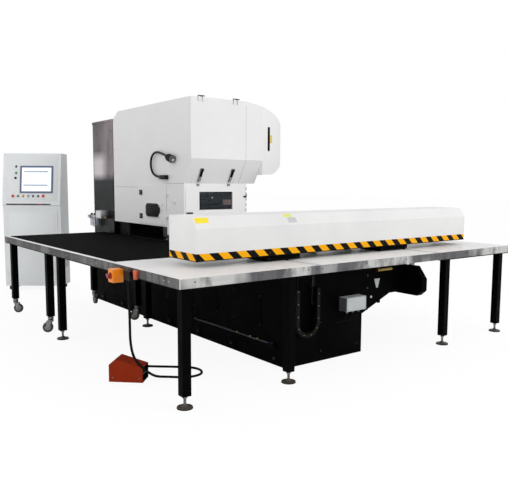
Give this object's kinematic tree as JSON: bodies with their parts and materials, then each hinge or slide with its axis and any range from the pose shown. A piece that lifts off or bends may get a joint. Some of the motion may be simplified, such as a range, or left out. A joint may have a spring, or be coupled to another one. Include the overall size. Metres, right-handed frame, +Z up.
{
  "type": "cnc turret punch press",
  "caption": "Turret punch press with a white C-frame head, a sheet table on legs, a covered cross beam with clamps, a pedal and a separate console.",
  "frame": {"origin": "on the floor under the turret axis, on the base's bottom face", "axes": "+X to the right along the cross beam, +Y from the front of the table to the rear cabinet, +Z up"},
  "size_m": [4.1383, 6.1125, 2.482],
  "materials": {
    "white_paint": "satin",
    "black_paint": "satin",
    "grey_paint": "satin",
    "dark_panel": "semi-gloss",
    "pale_top": "satin",
    "brushed_trim": "brushed",
    "zinc_foot": "zinc plated",
    "black_bristle": "matte",
    "air_metal": "satin",
    "grey_box": "satin",
    "chain_plastic": "matte",
    "orange_box": "satin",
    "orange_paint": "satin",
    "treadle_paint": "satin",
    "cable_rubber": "matte",
    "screen_glass": "gloss",
    "black_plastic": "satin",
    "black_steel": "satin",
    "bright_steel": "ground",
    "turret_steel": "oiled",
    "red_plastic": "gloss",
    "green_plastic": "gloss",
    "yellow_plastic": "gloss",
    "grey_plastic": "gloss",
    "grey_tyre": "matte"
  },
  "bodies": {
    "frame": {"base_frame": "black_paint", "right_rail_support": "black_paint", "c_frame": "grey_paint", "ram_housing": "grey_paint", "head_cover": "white_paint", "right_housing": "white_paint", "turret_guard": "white_paint", "rear_cabinet": "dark_panel", "air_unit": "air_metal", "junction_box": "grey_box", "energy_chain": "chain_plastic", "left_table_frame": "black_paint", "rear_table_frame": "black_paint", "right_table_frame": "black_paint", "left_table_top": "pale_top", "rear_table_top": "pale_top", "right_table_top": "pale_top", "centre_table_top": "pale_top", "brush_panels": "black_bristle", "levelling_feet": "zinc_foot", "edge_trims": "brushed_trim", "stop_box": "orange_box", "pedal_body": "orange_paint", "pedal_cable": "cable_rubber", "console_cabinet": "white_paint", "console_screen": "screen_glass", "work_lamp": "black_plastic"},
    "cross_beam": {"x_beam": "black_steel", "beam_cover": "white_paint"},
    "x_screw": {"x_ball_screw": "bright_steel"},
    "y_screw": {"y_ball_screw": "bright_steel"},
    "carriage": {"x_carriage": "black_steel"},
    "left_jaw": {"clamp_jaw_left": "bright_steel"},
    "right_jaw": {"clamp_jaw_right": "bright_steel"},
    "upper_turret": {"upper_turret": "turret_steel"},
    "lower_turret": {"lower_turret": "turret_steel"},
    "punch": {"working_punch": "bright_steel"},
    "ram": {"ram": "bright_steel"},
    "hood": {"front_hood": "white_paint"},
    "left_latch": {"hood_latch_left": "black_plastic"},
    "right_latch": {"hood_latch_right": "black_plastic"},
    "tool_door": {"tool_door": "white_paint"},
    "side_door": {"side_door": "white_paint"},
    "cabinet_door": {"cabinet_door": "dark_panel"},
    "console_door": {"console_door": "white_paint"},
    "table_stop": {"stop_button": "red_plastic"},
    "treadle": {"pedal_treadle": "treadle_paint"},
    "stop_push": {"stop_push": "red_plastic"},
    "start_push": {"start_push": "green_plastic"},
    "reset_push": {"reset_push": "yellow_plastic"},
    "key": {"key_switch": "grey_plastic"},
    "console_stop": {"console_stop": "red_plastic"},
    "fork_front_left": {"caster_fork_front_left": "zinc_foot"},
    "wheel_front_left": {"caster_wheel_front_left": "grey_tyre"},
    "fork_rear_left": {"caster_fork_rear_left": "zinc_foot"},
    "wheel_rear_left": {"caster_wheel_rear_left": "grey_tyre"},
    "fork_front_right": {"caster_fork_front_right": "zinc_foot"},
    "wheel_front_right": {"caster_wheel_front_right": "grey_tyre"},
    "fork_rear_right": {"caster_fork_rear_right": "zinc_foot"},
    "wheel_rear_right": {"caster_wheel_rear_right": "grey_tyre"}
  },
  "joints": [
    {"name": "beam_travel", "type": "slide", "parent": "frame", "child": "cross_beam", "axis": [0, 1, 0], "range_m": [0, 1.25]},
    {"name": "carriage_travel", "type": "slide", "parent": "cross_beam", "child": "carriage", "axis": [1, 0, 0], "range_m": [-1.25, 1.25]},
    {"name": "x_screw_spin", "type": "hinge", "parent": "cross_beam", "child": "x_screw", "pos_m": [0, -1.985, 1.115], "axis": [1, 0, 0], "continuous": true},
    {"name": "y_screw_spin", "type": "hinge", "parent": "frame", "child": "y_screw", "pos_m": [-0.352, 0, 0.735], "axis": [0, 1, 0], "continuous": true},
    {"name": "left_jaw_hinge", "type": "hinge", "parent": "carriage", "child": "left_jaw", "pos_m": [0.105, -1.835, 0.973], "axis": [1, 0, 0], "range_deg": [-3, 8]},
    {"name": "right_jaw_hinge", "type": "hinge", "parent": "carriage", "child": "right_jaw", "pos_m": [0.565, -1.835, 0.973], "axis": [1, 0, 0], "range_deg": [-3, 8]},
    {"name": "upper_turret_spin", "type": "hinge", "parent": "frame", "child": "upper_turret", "pos_m": [0, 0, 1], "axis": [0, 0, 1], "continuous": true},
    {"name": "lower_turret_spin", "type": "hinge", "parent": "frame", "child": "lower_turret", "pos_m": [0, 0, 0.8], "axis": [0, 0, 1], "continuous": true},
    {"name": "ram_stroke", "type": "slide", "parent": "frame", "child": "ram", "axis": [0, 0, -1], "range_m": [0, 0.034]},
    {"name": "punch_stroke", "type": "slide", "parent": "upper_turret", "child": "punch", "axis": [0, 0, -1], "range_m": [0, 0.034]},
    {"name": "hood_hinge", "type": "hinge", "parent": "frame", "child": "hood", "pos_m": [0, -0.62, 2.475], "axis": [-1, 0, 0], "range_deg": [0, 75]},
    {"name": "left_latch_hinge", "type": "hinge", "parent": "hood", "child": "left_latch", "pos_m": [-0.25, -0.56751, 1.71342], "axis": [-1, 0, 0], "range_deg": [0, 90]},
    {"name": "right_latch_hinge", "type": "hinge", "parent": "hood", "child": "right_latch", "pos_m": [0.15, -0.56751, 1.71342], "axis": [-1, 0, 0], "range_deg": [0, 90]},
    {"name": "tool_door_hinge", "type": "hinge", "parent": "frame", "child": "tool_door", "pos_m": [0.39, -0.48, 1.3], "axis": [0, 0, -1], "range_deg": [-100, 0]},
    {"name": "side_door_hinge", "type": "hinge", "parent": "frame", "child": "side_door", "pos_m": [-0.43, -0.101, 1.3], "axis": [0, 0, 1], "range_deg": [0, 110]},
    {"name": "cabinet_door_hinge", "type": "hinge", "parent": "frame", "child": "cabinet_door", "pos_m": [0.4335, 1.95, 1.6], "axis": [0, 0, -1], "range_deg": [0, 110]},
    {"name": "console_door_hinge", "type": "hinge", "parent": "frame", "child": "console_door", "pos_m": [-1.25103, 3.18025, 0.7], "axis": [0, 0, -1], "range_deg": [0, 105]},
    {"name": "table_stop_press", "type": "slide", "parent": "frame", "child": "table_stop", "axis": [1, 0, 0], "range_m": [0, 0.006]},
    {"name": "treadle_hinge", "type": "hinge", "parent": "frame", "child": "treadle", "pos_m": [-1.79197, -1.69946, 0.06], "axis": [0.682, 0.7314, 0], "range_deg": [0, 9], "stiffness_Nm_per_rad": 6, "springref_deg": -14.32},
    {"name": "stop_push_press", "type": "slide", "parent": "frame", "child": "stop_push", "axis": [0.5937, 0.7879, -0.1633], "range_m": [0, 0.004], "stiffness_N_per_m": 600},
    {"name": "start_push_press", "type": "slide", "parent": "frame", "child": "start_push", "axis": [0.5937, 0.7879, -0.1633], "range_m": [0, 0.004], "stiffness_N_per_m": 600},
    {"name": "reset_push_press", "type": "slide", "parent": "frame", "child": "reset_push", "axis": [0.5937, 0.7879, -0.1633], "range_m": [0, 0.004], "stiffness_N_per_m": 600},
    {"name": "console_stop_press", "type": "slide", "parent": "frame", "child": "console_stop", "axis": [0.5937, 0.7879, -0.1633], "range_m": [0, 0.004]},
    {"name": "key_turn", "type": "hinge", "parent": "frame", "child": "key", "pos_m": [-0.99001, 2.99059, 1.37958], "axis": [-0.5937, -0.7879, 0.1633], "range_deg": [0, 90]},
    {"name": "front_left_swivel", "type": "hinge", "parent": "frame", "child": "fork_front_left", "pos_m": [-1.642, 0.23, 0.15], "axis": [0, 0, 1], "continuous": true},
    {"name": "front_left_wheel_spin", "type": "hinge", "parent": "fork_front_left", "child": "wheel_front_left", "pos_m": [-1.66752, 0.2493, 0.055], "axis": [-0.6032, -0.7976, 0], "continuous": true},
    {"name": "rear_left_swivel", "type": "hinge", "parent": "frame", "child": "fork_rear_left", "pos_m": [-1.642, 1.482, 0.15], "axis": [0, 0, 1], "continuous": true},
    {"name": "rear_left_wheel_spin", "type": "hinge", "parent": "fork_rear_left", "child": "wheel_rear_left", "pos_m": [-1.61648, 1.4627, 0.055], "axis": [0.6032, 0.7976, 0], "continuous": true},
    {"name": "front_right_swivel", "type": "hinge", "parent": "frame", "child": "fork_front_right", "pos_m": [-0.64, 0.23, 0.15], "axis": [0, 0, 1], "continuous": true},
    {"name": "front_right_wheel_spin", "type": "hinge", "parent": "fork_front_right", "child": "wheel_front_right", "pos_m": [-0.66552, 0.2493, 0.055], "axis": [-0.6032, -0.7976, 0], "continuous": true},
    {"name": "rear_right_swivel", "type": "hinge", "parent": "frame", "child": "fork_rear_right", "pos_m": [-0.64, 1.482, 0.15], "axis": [0, 0, 1], "continuous": true},
    {"name": "rear_right_wheel_spin", "type": "hinge", "parent": "fork_rear_right", "child": "wheel_rear_right", "pos_m": [-0.64, 1.45, 0.055], "axis": [1, 0, 0], "continuous": true}
  ],
  "couplings": [
    {"joint": "x_screw_spin", "follows": "carriage_travel", "rad_per_m": 157.08},
    {"joint": "y_screw_spin", "follows": "beam_travel", "rad_per_m": 157.08},
    {"joint": "lower_turret_spin", "follows": "upper_turret_spin", "ratio": 1},
    {"joint": "punch_stroke", "follows": "ram_stroke", "ratio": 1}
  ]
}
